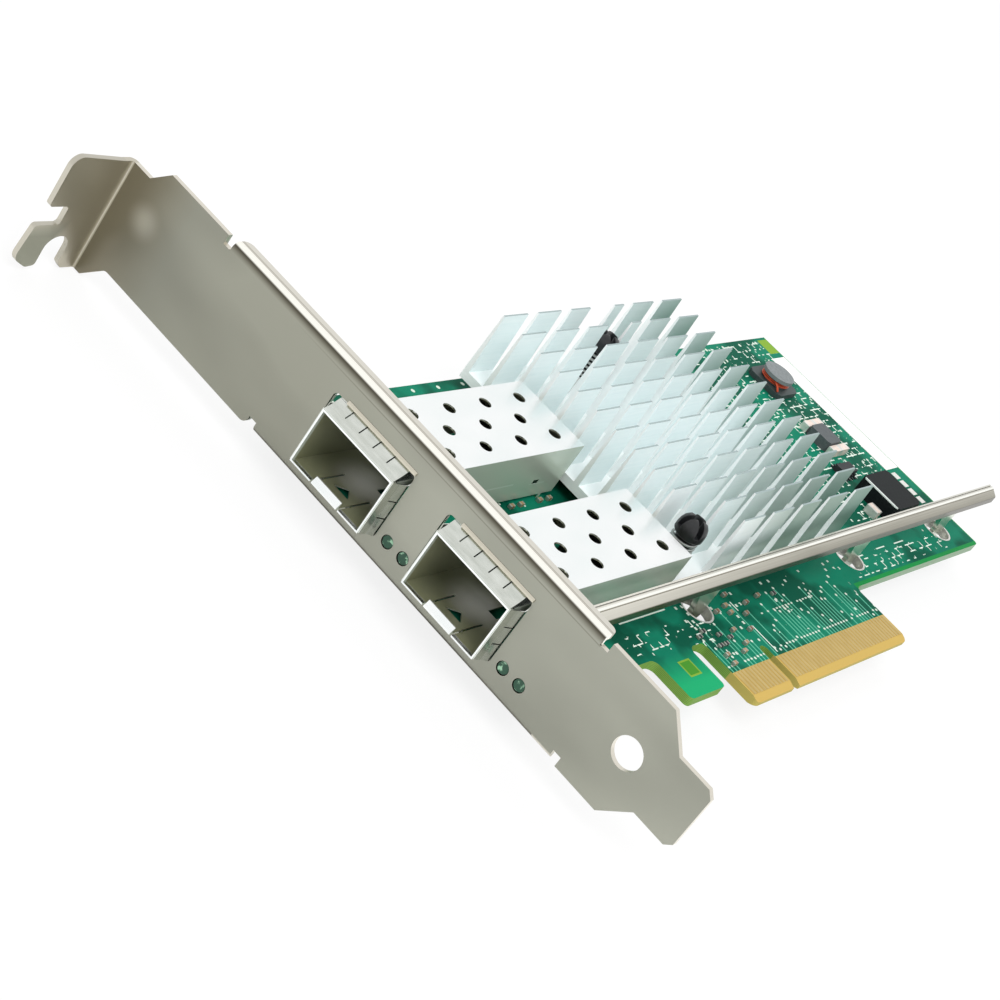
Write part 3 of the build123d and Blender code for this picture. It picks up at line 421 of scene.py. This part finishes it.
# Along the rim, painted shade darkens the face by the fold, with a thin line from the die that fades towards
# the tab
upper = add(bracket_plate, "Math", {0: at["Y"], 1: 46.6, 2: 37.8}, operation="COMPARE")
by_fold = add(bracket_plate, "MapRange", {"Value": at["Z"], "From Min": 14.7, "From Max": 15.3, "To Max": 0.6})
die_line = add(bracket_plate, "Math", {0: at["Z"], 1: 14.42, 2: 0.08}, operation="COMPARE")
line_fades = add(bracket_plate, "MapRange", {"Value": at["Y"], "From Min": 70.0, "From Max": 55.0,
                                             "To Max": 0.4})
by_rim = any_of(bracket_plate, by_fold, all_of(bracket_plate, die_line, line_fades))
face = coated(bracket_plate, face, (near_tab, "#877f6c"), (all_of(bracket_plate, painted_highlight, on_front), "#cfccc0"),
              (all_of(bracket_plate, by_rim, upper), "#625d4f"))
# Across the turned rims: a painted shade in the fold, a painted highlight strip, the grey lines of the die and
# a duller strip.
# The sheared edges below and above the rims are painted bright all over as highlight, and so are the pressed
# beads.
across_rim = add(bracket_plate, "MapRange", {"Value": at["X"], "From Max": 3.0})
rim_bands = add(bracket_plate, "ValToRGB", {"Fac": across_rim})
bands = rim_bands.color_ramp.elements
bands[0].position, bands[0].color = 0.085, linear("#5b574c")
bands[1].position, bands[1].color = 1.0, linear("#dddad0")
for position, colour in ((0.14, "#fffef6"), (0.47, "#fbf9f0"), (0.5, "#857f73"), (0.54, "#e4e0d5"),
                         (0.6, "#a5a094"), (0.65, "#dcd9cf")):
    bands.new(position).color = linear(colour)
front_on = add(bracket_plate, "Math", {0: facing["X"]}, operation="ABSOLUTE")
turned = add(bracket_plate, "MapRange", {"Value": front_on, "From Min": 0.97, "From Max": 0.85})
bead = add(bracket_plate, "Math", {0: at["X"], 1: -0.03}, operation="LESS_THAN")
edge = coated(bracket_plate, "#dfdace", (upper, rim_bands))
# On the tab, painted light makes it paler near the fold and up high, with painted highlights on its sheared
# edges, and leaves the hook beside the screw slot darker as painted shade
hook_way = add(bracket_plate, "MapRange", {"Value": at["Z"], "From Min": 0.0, "From Max": 3.0})
fold_way = add(bracket_plate, "MapRange", {"Value": at["X"], "From Min": -7.5, "From Max": -5.5})
along_tab = add(bracket_plate, "Math", {0: facing["Y"]}, operation="ABSOLUTE")
tab_edge = add(bracket_plate, "MapRange", {"Value": along_tab, "From Min": 0.6, "From Max": 0.3})
past_fold = add(bracket_plate, "Math", {0: at["X"], 1: -1.3}, operation="LESS_THAN")
on_tab = add(bracket_plate, "Math", {0: at["Y"], 1: 104.5}, operation="GREATER_THAN")
tab = coated(bracket_plate, "#98998a", (any_of(bracket_plate, hook_way, fold_way), "#c9c4b5"),
             (all_of(bracket_plate, tab_edge, past_fold), "#c2beb1"))
plate = coated(bracket_plate, face, (turned, edge), (bead, "#d2cdbd"), (on_tab, tab))
wire_up(bracket_plate, plate, "Base Color")
grain_size = add(bracket_plate, "Mapping", {"Vector": in_mm, "Scale": (9.0, 0.7, 9.0)})
grain = add(bracket_plate, "TexNoise", {"Vector": grain_size, "Scale": 1.0, "Detail": 3.0})
relief = add(bracket_plate, "Bump", {"Height": grain, "Strength": 0.06, "Distance": 0.03 * MM})
wire_up(bracket_plate, relief, "Normal")
dress(bracket_plate, "slot_bracket")


# Stiffener. A strip of the same steel, folded over along its length and blanked with three legs
# that go down through the board, with fine lengthwise lines from the rolls.
strip_plate = new_material("rolled nickel plated strip", "#bdbbaf", {"Metallic": 1.0, "Roughness": 0.3})
_, at, facing = measured(strip_plate)
strip, roll_lines = mottle(strip_plate, (0.06, 5.2, 5.2), "#b9b7ac", "#f0efe6", 3.0)
# Painted shade darkens the slope, the more so low down, and painted light makes the strip paler towards the
# bracket end
slope = add(strip_plate, "MapRange", {"Value": facing["Z"], "From Min": 0.97, "From Max": 0.86})
slope_tone = coated(strip_plate, "#8f8c7f", (roll_lines, "#cfccc0"))
lower = add(strip_plate, "MapRange", {"Value": at["Z"], "From Min": 8.6, "From Max": 7.8, "To Max": 0.75})
paler = add(strip_plate, "MapRange", {"Value": at["X"], "From Min": 80.0, "From Max": 20.0, "To Max": 0.6})
# A painted highlight on the ridge between the flat and the slope, and a dark painted shade line under it
ridge = in_any(strip_plate, at["Y"], at["Z"], [(16.95, 17.25, 8.5, 9.0)])
under_ridge = in_any(strip_plate, at["Y"], at["Z"], [(16.78, 16.9, 8.2, 9.0)])
# Painted shade on the upright skirt, with the legs left pale as painted light
skirt = add(strip_plate, "MapRange", {"Value": facing["Z"], "From Min": 0.7, "From Max": 0.2})
leg = add(strip_plate, "Math", {0: at["Z"], 1: 6.4}, operation="LESS_THAN")
strip = coated(strip_plate, strip, (slope, slope_tone), (all_of(strip_plate, lower, slope), "#8c897b"),
               (paler, "#f1eee3"), (ridge, "#fffff8"), (under_ridge, "#8a8678"), (skirt, "#5a574c"),
               (leg, "#dfe2d6"))
wire_up(strip_plate, strip, "Base Color")
relief = add(strip_plate, "Bump", {"Height": roll_lines, "Strength": 0.1, "Distance": 0.04 * MM})
wire_up(strip_plate, relief, "Normal")
dress(strip_plate, "stiffener_bar")


# Cages. Thin steel sheet, stamped, folded and plated with bright nickel. Their flat tops mirror the
# studio and look nearly white, while the walls inside mirror each other to a dull olive.
cage_plate = new_material("bright nickel on thin sheet", "#e9efec", {"Metallic": 1.0, "Roughness": 0.26})
in_mm, at, facing = measured(cage_plate)
top, ripples = mottle(cage_plate, (0.09, 0.16, 0.16), "#edf4f3", "#ffffff", 1.0)
INSIDE_HALF, INSIDE_LOW, INSIDE_HIGH = 6.95, 0.8, 9.7
inside = in_any(cage_plate, at["Y"], at["Z"], [
    (port - INSIDE_HALF, port + INSIDE_HALF, INSIDE_LOW, INSIDE_HIGH) for port in PORT_YS])
mouth = add(cage_plate, "MapRange", {"Value": at["X"], "From Min": -1.9, "From Max": -1.6})
hollow = all_of(cage_plate, inside, mouth)
depth = add(cage_plate, "MapRange", {"Value": at["X"], "From Min": -1.6, "From Max": 12.0})
# Light that falls in through the tail slots lies as a soft patch on each floor
patches = []
for port in PORT_YS:
    away = add(cage_plate, "VectorMath", {0: in_mm, 1: (7.4, port + 0.6, 1.0)}, operation="DISTANCE")
    patch = add(cage_plate, "MapRange", {"Value": away.outputs["Value"], "From Min": 6.5, "From Max": 0.0},
                interpolation_type="SMOOTHERSTEP")
    patches.append(patch)
lit = any_of(cage_plate, *patches)
# The olive inside, a little lighter deeper in, is painted reflection
olive = coated(cage_plate, "#919374", (depth, "#a5a891"), (lit, "#ffffff"))
# The walls are greyer than the tops, as painted shade, with a lighter line on the pressed seam, and the small
# latch window in it is painted dark as the shade inside it
sideways = add(cage_plate, "Math", {0: facing["Y"]}, operation="ABSOLUTE")
wall = add(cage_plate, "MapRange", {"Value": sideways, "From Min": 0.5, "From Max": 0.9})
seam = in_any(cage_plate, at["X"], at["Z"], [(4.0, 31.7, 3.95, 4.2), (36.6, 40.6, 3.2, 3.4)])
cut = in_any(cage_plate, at["X"], at["Z"], [(37.1, 38.5, 3.4, 4.1)])
cage = coated(cage_plate, top, (wall, "#cfd8ca"), (all_of(cage_plate, seam, wall), "#e4e9e0"),
              (all_of(cage_plate, cut, wall), "#15170f"), (hollow, olive))
wire_up(cage_plate, cage, "Base Color")
dull = add(cage_plate, "MapRange", {"Value": any_of(cage_plate, wall, hollow), "To Min": 1.0, "To Max": 0.4})
unlit = add(cage_plate, "Math", {0: 1.0, 1: all_of(cage_plate, lit, hollow)}, operation="SUBTRACT")
wire_up(cage_plate, all_of(cage_plate, dull, unlit), "Metallic")
relief = add(cage_plate, "Bump", {"Height": ripples, "Strength": 0.1, "Distance": 0.2 * MM})
wire_up(cage_plate, relief, "Normal")
dress(cage_plate, "port_1_cage", "port_2_cage")


# Spring collars. Tempered spring strip, cut into fingers and bowed round the cage mouths. The bows
# are polished by forming, flash at the front and mirror the dull bracket behind.
spring_strip = mottled("bright spring strip", "#d5d8d0", {"Metallic": 1.0, "Roughness": 0.24},
                       (1.5, 0.3, 0.3), "#b9beb5", "#e6e9e3")
dress(spring_strip, "port_1_spring_collar", "port_2_spring_collar")


# Host connectors and light holders. Black glass filled plastic, moulded, with a fine dull skin.
black_moulding = mottled("black glass filled moulding", "#232421", {"Roughness": 0.55},
                         4.2, "#1c1d1b", "#2f302c", bump=(0.15, 0.03))
dress(black_moulding, "port_1_host_connector", "port_2_host_connector", "port_1_light_holder",
      "port_2_light_holder")


# Lenses of the link lights. Green tinted clear plastic rods that end just inside the bracket,
# dark, with pale glints painted in from noise as highlights.
lens_plastic = mottled("green tinted acrylic", "#3f7f55", {"Roughness": 0.15, "IOR": 1.49},
                       1.1, "#1c4a35", "#96c2a2", 3.0, (0.53, 0.6))
dress(lens_plastic, "link_light_lenses")


# Heatsink. Soft aluminium, extruded as a comb and cut across with a saw. The fins are matt and
# very pale, with fine upright draw lines, and painted highlights on their sawn ends.
bare_aluminium = new_material("extruded and sawn aluminium", "#f2fbfb", {"Metallic": 0.15, "Roughness": 0.5})
_, at, facing = measured(bare_aluminium)
fins, draw_lines = mottle(bare_aluminium, (0.12, 4.0, 2.6), "#eaf6f7", "#f8ffff")
# The rows by the stiffener mirror its dark side and the green board
by_bar = add(bare_aluminium, "MapRange", {"Value": at["Y"], "From Min": 36.0, "From Max": 21.0})
from_pin = add(bare_aluminium, "MapRange", {"Value": at["X"], "From Min": 56.0, "From Max": 76.0})
# So do the far ends of the rows, the more so low down, and the back rows a little
far_end = add(bare_aluminium, "MapRange", {"Value": at["X"], "From Min": 87.0, "From Max": 101.0,
                                           "To Max": 0.7})
low_down = add(bare_aluminium, "MapRange", {"Value": at["Z"], "From Min": 14.5, "From Max": 7.0,
                                            "To Min": 0.6, "To Max": 1.0})
back_rows = add(bare_aluminium, "MapRange", {"Value": at["Y"], "From Min": 46.0, "From Max": 62.0})
along_row = add(bare_aluminium, "MapRange", {"Value": at["X"], "From Min": 50.0, "From Max": 85.0,
                                             "To Max": 0.25})
mirrored = add(bare_aluminium, "Math", {0: all_of(bare_aluminium, far_end, low_down),
                                        1: all_of(bare_aluminium, back_rows, along_row)}, operation="ADD")
mirrored = add(bare_aluminium, "Math", {0: mirrored, 1: 0.8}, operation="MINIMUM")
# Painted highlight on the fins' sawn ends and on upward faces low down, and painted shade on the top edges up
# high
end_on = add(bare_aluminium, "Math", {0: facing["X"]}, operation="ABSOLUTE")
bright = any_of(bare_aluminium, end_on, facing["Z"])
end_highlight = add(bare_aluminium, "MapRange", {"Value": bright, "From Min": 0.6, "From Max": 0.9})
up_high = add(bare_aluminium, "Math", {0: at["Z"], 1: 8.0}, operation="GREATER_THAN")
top_edge = all_of(bare_aluminium, facing["Z"], up_high)
top_part = add(bare_aluminium, "MapRange", {"Value": top_edge, "From Min": 0.6, "From Max": 0.9})
fins = coated(bare_aluminium, fins, (all_of(bare_aluminium, by_bar, from_pin), "#8fa69b"),
              (mirrored, "#5e8a7c"), (end_highlight, "#fbffff"), (top_part, "#93a3a3"))
wire_up(bare_aluminium, fins, "Base Color")
relief = add(bare_aluminium, "Bump", {"Height": draw_lines, "Strength": 0.1, "Distance": 0.03 * MM})
wire_up(bare_aluminium, relief, "Normal")
dress(bare_aluminium, "heatsink")


# Thermal pad. Soft silicone sheet between the chip and the heatsink.
silicone = mottled("soft grey silicone", "#9aa0a0", {"Roughness": 0.8}, 2.5, "#8b9191", "#a9aeae")
dress(silicone, "thermal_pad")


# Chips and resistors. Black epoxy moulding compound with a fine sandy skin.
epoxy = mottled("black epoxy compound", "#26282a", {"Roughness": 0.5, "Specular IOR Level": 0.2},
                5.0, "#1d1f20", "#34373a", bump=(0.2, 0.03))
dress(epoxy, "controller_chip", "clock_chip", "small_resistors")


# Push pins. Black nylon, moulded in one: a domed head split by a cross, a stem through the heatsink
# and the board, and a barb that snaps in under the board.
nylon = mottled("black nylon", "#17181a", {"Roughness": 0.34}, 1.4, "#0c0d0e", "#242628")
DECK = 3.65
SEAT = DECK + 5.2
PUSH_PLACES = {"front": (50.8, 24.8), "rear": (75.3, 63.0)}
SPLIT_TURNS, SPLIT_SIZE, SPLIT_HEIGHT, PIN_EDGE = (57, 147), (8, 0.95, 3.2), SEAT + 2.7, 0.3
barb_and_stem = [(0.68, -3.77), (1.15, -3.0), (2.0, -1.75), (2.0, -1.6), (1.5, -1.57), (1.5, SEAT)]
head = [(2.2, 0.02), (2.42, 0.3), (2.45, 0.9), (2.38, 1.7), (2.15, 2.4), (1.7, 2.95), (1.0, 3.25), (0.3, 3.3)]
pin = draw_up(40, barb_and_stem + [(radius, SEAT + height) for radius, height in head])
for turn in SPLIT_TURNS:
    select_only()
    bpy.ops.mesh.primitive_cube_add(size=MM, location=(0, 0, SPLIT_HEIGHT * MM),
                                    rotation=(0, 0, math.radians(turn)))
    saw = bpy.context.object
    saw.scale = SPLIT_SIZE
    use_modifier(pin, "BOOLEAN", operation="DIFFERENCE", object=saw, solver="EXACT")
    bpy.data.objects.remove(saw)
use_modifier(pin, "BEVEL", width=PIN_EDGE * MM, segments=2, limit_method="ANGLE", angle_limit=math.radians(50))
for name, (x, y) in PUSH_PLACES.items():
    finish_piece(copy_of(pin, x, y), f"push_pin_{name}_moulding", nylon, "pin_plastic", f"push_pin_{name}")
bpy.data.objects.remove(pin)


# Push pin springs. Bright hard drawn spring wire of 0.45 mm, coiled six times, that presses the
# heatsink down on the chip and shows as thin silver arcs under the pin's head.
spring_wire = mottled("hard drawn spring wire", "#b4b8b6", {"Metallic": 1.0, "Roughness": 0.3},
                      2.0, "#9da19f", "#cdd1ce")
SPRING_R, SPRING_WIRE, SPRING_TURNS = 2.02, 0.45, 6


def coil(radius, wire, low, high, turns, steps=28):
    """A round wire wound up a helix about the origin, between two heights in mm."""
    select_only()
    bpy.ops.mesh.primitive_circle_add(vertices=10, radius=wire / 2 * MM, fill_type="NGON",
                                      location=(radius * MM, 0, (low + wire / 2) * MM),
                                      rotation=(math.pi / 2, 0, 0))
    bpy.ops.object.transform_apply(location=True, rotation=True)
    wound = bpy.context.object
    bpy.ops.object.mode_set(mode="EDIT")
    bpy.ops.mesh.select_all(action="SELECT")
    bpy.ops.mesh.delete(type="ONLY_FACE")
    bpy.ops.object.mode_set(mode="OBJECT")
    pitch = (high - low - wire) / turns * MM
    use_modifier(wound, "SCREW", axis="Z", screw_offset=pitch, iterations=turns, steps=steps,
                 render_steps=steps, use_merge_vertices=False)
    bpy.ops.object.mode_set(mode="EDIT")
    bpy.ops.mesh.select_all(action="DESELECT")
    bpy.ops.mesh.select_mode(type="EDGE")
    bpy.ops.mesh.select_non_manifold()
    bpy.ops.mesh.edge_face_add()
    bpy.ops.mesh.select_all(action="SELECT")
    bpy.ops.mesh.normals_make_consistent(inside=False)
    bpy.ops.object.mode_set(mode="OBJECT")
    return wound


spring = coil(SPRING_R, SPRING_WIRE, DECK, SEAT, SPRING_TURNS)
for name, (x, y) in PUSH_PLACES.items():
    finish_piece(copy_of(spring, x, y), f"push_pin_coil_{name}", spring_wire, "spring_steel",
                 f"push_pin_spring_{name}", smooth=60)
bpy.data.objects.remove(spring)


# Round choke. A ferrite drum wound with lacquered copper on a moulded base, with its two red
# lacquered ends led down to the base.
ferrite = mottled("grey sintered ferrite", "#74797a", {"Roughness": 0.6}, 1.8, "#5f6567", "#8b9192", 3.0)
dress(ferrite, "round_choke_core")
slate = mottled("slate coloured moulding", "#34403f", {"Roughness": 0.5}, 3.0, "#232d2d", "#3d4a4a")
dress(slate, "round_choke_base")
copper = mottled("red lacquered copper wire", "#b8432a", {"Metallic": 0.6, "Roughness": 0.3},
                 1.2, "#9a2f1c", "#d9603c")
CHOKE_PLACE = (137.8, 57.2)
CHOKE_DECK, CHOKE_FLANGE = 1.0, 2.2
WINDING_R, WIRE, LEAD_WIRE, WINDING_TURNS = 2.72, 0.4, 0.44, 2
# Each lead's two curve points in mm: the point itself, then its handles on the left and right
LEAD_POINTS = (((-2.5, -1.1, 1.9), (-2.2, -0.4, 1.9), (-2.9, -1.9, 1.95)),
               ((-3.5, -3.0, 1.15), (-3.4, -2.5, 1.8), (-3.6, -3.4, 0.9)))
wires = [coil(WINDING_R, WIRE, CHOKE_DECK, CHOKE_FLANGE, WINDING_TURNS)]
for side in (-1, 1):
    select_only()
    bpy.ops.curve.primitive_bezier_curve_add()
    lead = bpy.context.object
    for point, places in zip(lead.data.splines[0].bezier_points, LEAD_POINTS):
        point.co, point.handle_left, point.handle_right = (
            (side * x * MM, side * y * MM, z * MM) for x, y, z in places)
    lead.data.bevel_depth = LEAD_WIRE / 2 * MM
    lead.data.bevel_resolution = 3
    lead.data.use_fill_caps = True
    bpy.ops.object.convert(target="MESH")
    wires.append(bpy.context.object)
winding = join(wires)
place(winding, *CHOKE_PLACE)
finish_piece(winding, "round_choke_wire", copper, "copper_wire", "round_choke_winding", smooth=60)


# Power inductors. Iron powder pressed round the coil, black on the large one and grey on the small.
powder = new_material("pressed iron powder", "#15191a", {"Roughness": 0.5, "Specular IOR Level": 0.08})
_, at, _ = measured(powder)
grit, _ = mottle(powder, 2.6, "#0c0f10", "#1f2425", 3.0)
# A painted highlight along the pressed edge towards the bracket, 0.3 mm wide
edge_highlight = in_any(powder, at["X"], at["Z"], [(129.0, 129.55, 3.05, 3.5)])
wire_up(powder, coated(powder, grit, (edge_highlight, "#dfe6e2")), "Base Color")
dress(powder, "power_inductor")
grey_powder = mottled("grey pressed powder", "#4b5052", {"Roughness": 0.6}, 2.6, "#3e4345", "#5d6365", 3.0)
dress(grey_powder, "square_inductor")


# Ceramic capacitors and film resistors. Fired blocks with dipped tin ends that wrap round them,
# soldered flat to the board.
pale_ceramic = mottled("pale fired ceramic", "#dccfc6", {"Roughness": 0.45}, 1.5, "#cdb8ab", "#efe2d8")
dress(pale_ceramic, "bulk_capacitors")
tan_ceramic = mottled("tan fired ceramic", "#b08a5a", {"Roughness": 0.45}, 0.26, "#6f4a35", "#a98c62",
                      between=(0.4, 0.6))
dress(tan_ceramic, "small_capacitors")
CAP_LAP, CAP_EDGE = 0.03, 0.05
CHIP_CAP, RESISTOR_CAP, BULK_CAP = 0.26, 0.24, 0.45


def end_caps(node_name, cap_length):
    """Tin caps over both ends of each part in a group, found from a copy of the group's mesh."""
    group = bpy.data.objects.new("group", nodes[node_name].data.copy())
    scene.collection.objects.link(group)
    select_only(group)
    bpy.ops.object.mode_set(mode="EDIT")
    bpy.ops.mesh.select_all(action="SELECT")
    bpy.ops.mesh.remove_doubles(threshold=0.01 * MM)
    bpy.ops.mesh.separate(type="LOOSE")
    bpy.ops.object.mode_set(mode="OBJECT")
    parts = list(bpy.context.selected_objects)
    lap = CAP_LAP * MM
    caps = []
    for part in parts:
        xs, ys, zs = zip(*(vertex.co for vertex in part.data.vertices))
        size = (cap_length * MM + lap, max(ys) - min(ys) + 2 * lap, max(zs) + lap)
        inset = size[0] / 2 - lap
        for end in (min(xs) + inset, max(xs) - inset):
            select_only()
            bpy.ops.mesh.primitive_cube_add(size=1.0, location=(end, (min(ys) + max(ys)) / 2, size[2] / 2))
            cap = bpy.context.object
            cap.scale = size
            bpy.ops.object.transform_apply(location=True, scale=True)
            use_modifier(cap, "BEVEL", width=CAP_EDGE * MM, segments=1)
            caps.append(cap)
    for part in parts:
        bpy.data.objects.remove(part)
    return caps


dull_tin = mottled("dull dipped tin", "#a9aba3", {"Metallic": 0.7, "Roughness": 0.45},
                   0.9, "#8f928a", "#c9cbc3")
small_caps = end_caps("small_capacitors", CHIP_CAP) + end_caps("small_resistors", RESISTOR_CAP)
finish_piece(join(small_caps), "small_part_end_caps", dull_tin, "plated_silver")
bulk_caps = end_caps("bulk_capacitors", BULK_CAP)
finish_piece(join(bulk_caps), "bulk_capacitor_end_caps", tin, "plated_silver")


# Label. Plain white paper with a satin face, left blank.
label_paper = mottled("satin white label", "#f0f0ed", {"Roughness": 0.5}, 1.6, "#e9e9e5", "#f7f7f5", 3.0)
dress(label_paper, "blank_label")


# Studio. A pale floor, a white world and two soft lamps, with the camera where the photographer's
# was. The floor glows to the camera, which leaves a light shadow on it, and the world is seen and
# mirrored a little brighter than it lights.
FLOOR_Z = -0.0061
select_only()
bpy.ops.mesh.primitive_plane_add(size=3.0, location=(0.06, 0.04, FLOOR_Z))
floor = bpy.context.object
floor.name = "floor"
floor_paint = new_material("matt white floor", "#f2f2f2", {"Roughness": 0.9})
rays = add(floor_paint, "LightPath")
glow = add(floor_paint, "Emission", {"Color": "#ffffff", "Strength": 1.0})
shown = all_of(floor_paint, rays.outputs["Is Camera Ray"], 0.85)
mixed = add(floor_paint, "MixShader", {0: shown, 1: shader_of(floor_paint), 2: glow})
floor_paint.node_tree.links.new(mixed.outputs[0], floor_paint.node_tree.nodes["Material Output"].inputs[0])
floor.data.materials.append(floor_paint)

world = bpy.data.worlds.new("white studio")
scene.world = world
world.use_nodes = True
back = world.node_tree.nodes["Background"]
rays = add(world, "LightPath").outputs
seen = any_of(world, rays["Is Camera Ray"], rays["Is Glossy Ray"], rays["Is Transmission Ray"])
strength = add(world, "MapRange", {"Value": seen, "To Min": 0.72, "To Max": 1.0})
back.inputs["Color"].default_value = (1, 1, 1, 1)
world.node_tree.links.new(strength.outputs[0], back.inputs["Strength"])


def soft_lamp(name, position, turn, size, power):
    """A square lamp of soft light."""
    lamp = bpy.data.lights.new(name, "AREA")
    lamp.size = size
    lamp.energy = power
    holder = bpy.data.objects.new(name, lamp)
    holder.location = position
    holder.rotation_euler = turn
    holder.visible_glossy = False
    scene.collection.objects.link(holder)


soft_lamp("key_lamp", (-0.25, -0.25, 0.75), (0.45, -0.45, 0.0), 0.6, 5.0)
soft_lamp("fill_lamp", (0.5, 0.5, 0.6), (-0.6, 0.6, 0.0), 0.6, 2.0)

camera_data = bpy.data.cameras.new("camera")
camera_data.sensor_width = 36.0
camera_data.lens = 82.63
camera_data.shift_x = -0.0169
camera_data.shift_y = 0.0101
camera_data.clip_start = 0.01
camera = bpy.data.objects.new("camera", camera_data)
camera.location = (-0.23896, -0.06559, 0.150686)
camera.rotation_euler = [math.radians(degrees) for degrees in (57.5346, -31.8638, -49.9389)]
scene.collection.objects.link(camera)
scene.camera = camera

scene.view_settings.view_transform = "Standard"
